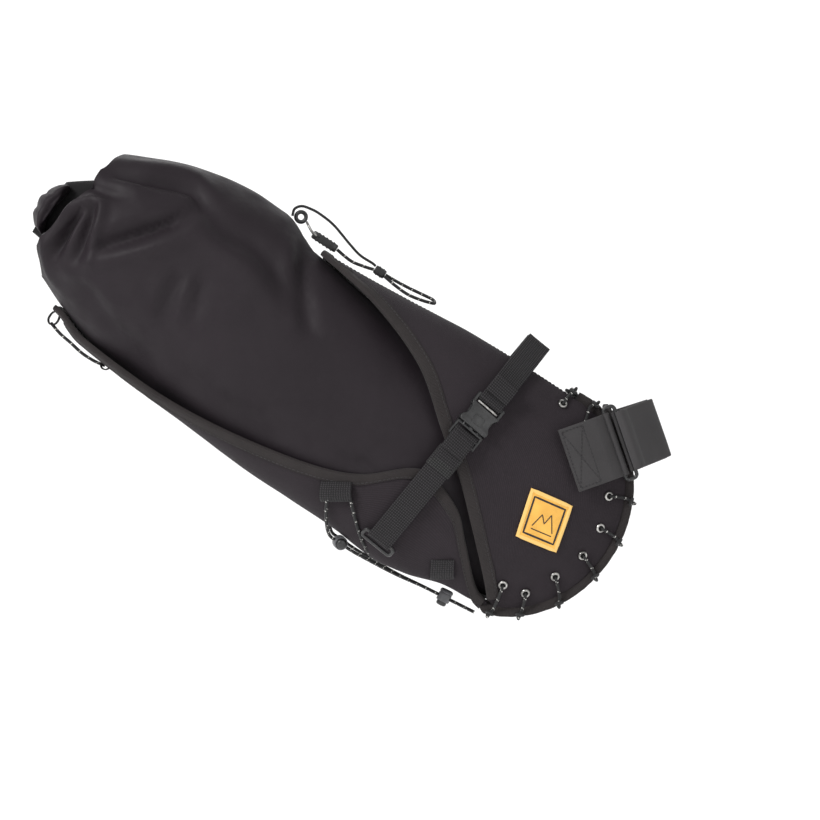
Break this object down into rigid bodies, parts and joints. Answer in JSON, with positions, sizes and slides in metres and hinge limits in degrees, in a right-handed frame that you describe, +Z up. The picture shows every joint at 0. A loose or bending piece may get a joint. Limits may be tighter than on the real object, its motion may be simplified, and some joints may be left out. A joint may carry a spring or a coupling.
{
  "type": "saddle bag",
  "caption": "Laced fabric holster that carries a roll-top dry bag behind a saddle, with a seatpost strap, buckled saddle-rail straps and an elastic cord under it.",
  "frame": {"origin": "on the seatpost's axis, at the middle of the seatpost strap", "axes": "+X forward along the bicycle, +Y to the bicycle's left, +Z up"},
  "size_m": [0.5043, 0.1774, 0.3625],
  "materials": {
    "coated_nylon": "coated, soft sheen",
    "panel_fabric": "fine matt weave",
    "binding_tape": "ribbed grosgrain tape",
    "webbing": "ribbed nylon webbing",
    "rubberised_strap": "smooth rubberised fabric",
    "black_plastic": "moulded acetal",
    "grey_plastic": "moulded",
    "amber_label": "woven label",
    "nickel": "plated metal",
    "flecked_cord": "braided cord with pale flecks"
  },
  "bodies": {
    "holster": {"buckle_male_left": "black_plastic", "buckle_male_right": "black_plastic", "cord_slider": "black_plastic", "cradle": "panel_fabric", "cradle_binding": "binding_tape", "eyelet_left_1": "nickel", "eyelet_left_2": "nickel", "eyelet_left_3": "nickel", "eyelet_left_4": "nickel", "eyelet_left_5": "nickel", "eyelet_left_6": "nickel", "eyelet_left_7": "nickel", "eyelet_left_8": "nickel", "eyelet_right_1": "nickel", "eyelet_right_2": "nickel", "eyelet_right_3": "nickel", "eyelet_right_4": "nickel", "eyelet_right_5": "nickel", "eyelet_right_6": "nickel", "eyelet_right_7": "nickel", "eyelet_right_8": "nickel", "grip_pad": "rubberised_strap", "hook_body": "black_plastic", "label_patch": "amber_label", "lacing_cord_left": "flecked_cord", "lacing_cord_right": "flecked_cord", "lower_ring_left": "black_plastic", "lower_ring_right": "black_plastic", "lower_strap_left": "webbing", "lower_strap_right": "webbing", "mouth_binding": "binding_tape", "nose_gusset": "rubberised_strap", "post_ring": "black_plastic", "post_strap": "rubberised_strap", "post_strap_anchor": "rubberised_strap", "pull_loop": "flecked_cord", "rear_cord_lock_body": "grey_plastic", "retainer_strap": "webbing", "rim_binding_left": "binding_tape", "rim_binding_right": "binding_tape", "side_panel_left": "panel_fabric", "side_panel_right": "panel_fabric", "tail_cord": "flecked_cord", "top_cord": "flecked_cord", "top_panel": "panel_fabric", "under_cord": "flecked_cord"},
    "dry_bag": {"dry_bag": "coated_nylon", "roll_closure": "coated_nylon", "roll_buckle_male": "black_plastic", "bag_ring": "black_plastic"},
    "roll_clip": {"roll_buckle_female": "black_plastic"},
    "right_rail_strap": {"buckle_female_right": "black_plastic", "upper_strap_right": "webbing"},
    "left_rail_strap": {"buckle_female_left": "black_plastic", "upper_strap_left": "webbing"},
    "post_flap": {"post_strap_flap": "rubberised_strap"},
    "hook_wire": {"hook_bail": "nickel"},
    "front_lock": {"front_cord_lock_body": "grey_plastic"},
    "front_push": {"front_cord_lock_button": "black_plastic"},
    "rear_push": {"rear_cord_lock_button": "black_plastic"}
  },
  "joints": [
    {"name": "dry_bag_slide", "type": "slide", "parent": "holster", "child": "dry_bag", "axis": [-0.766, 0, 0.6428], "range_m": [0, 0.25]},
    {"name": "roll_clip_slide", "type": "slide", "parent": "dry_bag", "child": "roll_clip", "axis": [0, 1, 0], "range_m": [0, 0.01]},
    {"name": "right_buckle_slide", "type": "slide", "parent": "holster", "child": "right_rail_strap", "axis": [0.6164, 0.2124, 0.7583], "range_m": [0, 0.03]},
    {"name": "left_buckle_slide", "type": "slide", "parent": "holster", "child": "left_rail_strap", "axis": [0.6164, -0.2124, 0.7583], "range_m": [0, 0.03]},
    {"name": "post_flap_hinge", "type": "hinge", "parent": "holster", "child": "post_flap", "pos_m": [-0.01229, -0.0455, -0.00423], "axis": [0.3256, 0, -0.9455], "range_deg": [0, 60]},
    {"name": "hook_bail_hinge", "type": "hinge", "parent": "holster", "child": "hook_wire", "pos_m": [-0.25095, 0, 0.15522], "axis": [0, 1, 0], "range_deg": [0, 100]},
    {"name": "front_lock_slide", "type": "slide", "parent": "holster", "child": "front_lock", "axis": [-0.894, 0, 0.4481], "range_m": [-0.02, 0.012]},
    {"name": "front_lock_push", "type": "slide", "parent": "front_lock", "child": "front_push", "axis": [0.4481, 0, 0.894], "range_m": [0, 0.0022], "stiffness_N_per_m": 400, "springref_m": -0.001},
    {"name": "rear_lock_push", "type": "slide", "parent": "holster", "child": "rear_push", "axis": [-0.2183, 0.9631, 0.1578], "range_m": [0, 0.0022], "stiffness_N_per_m": 400, "springref_m": -0.001}
  ]
}
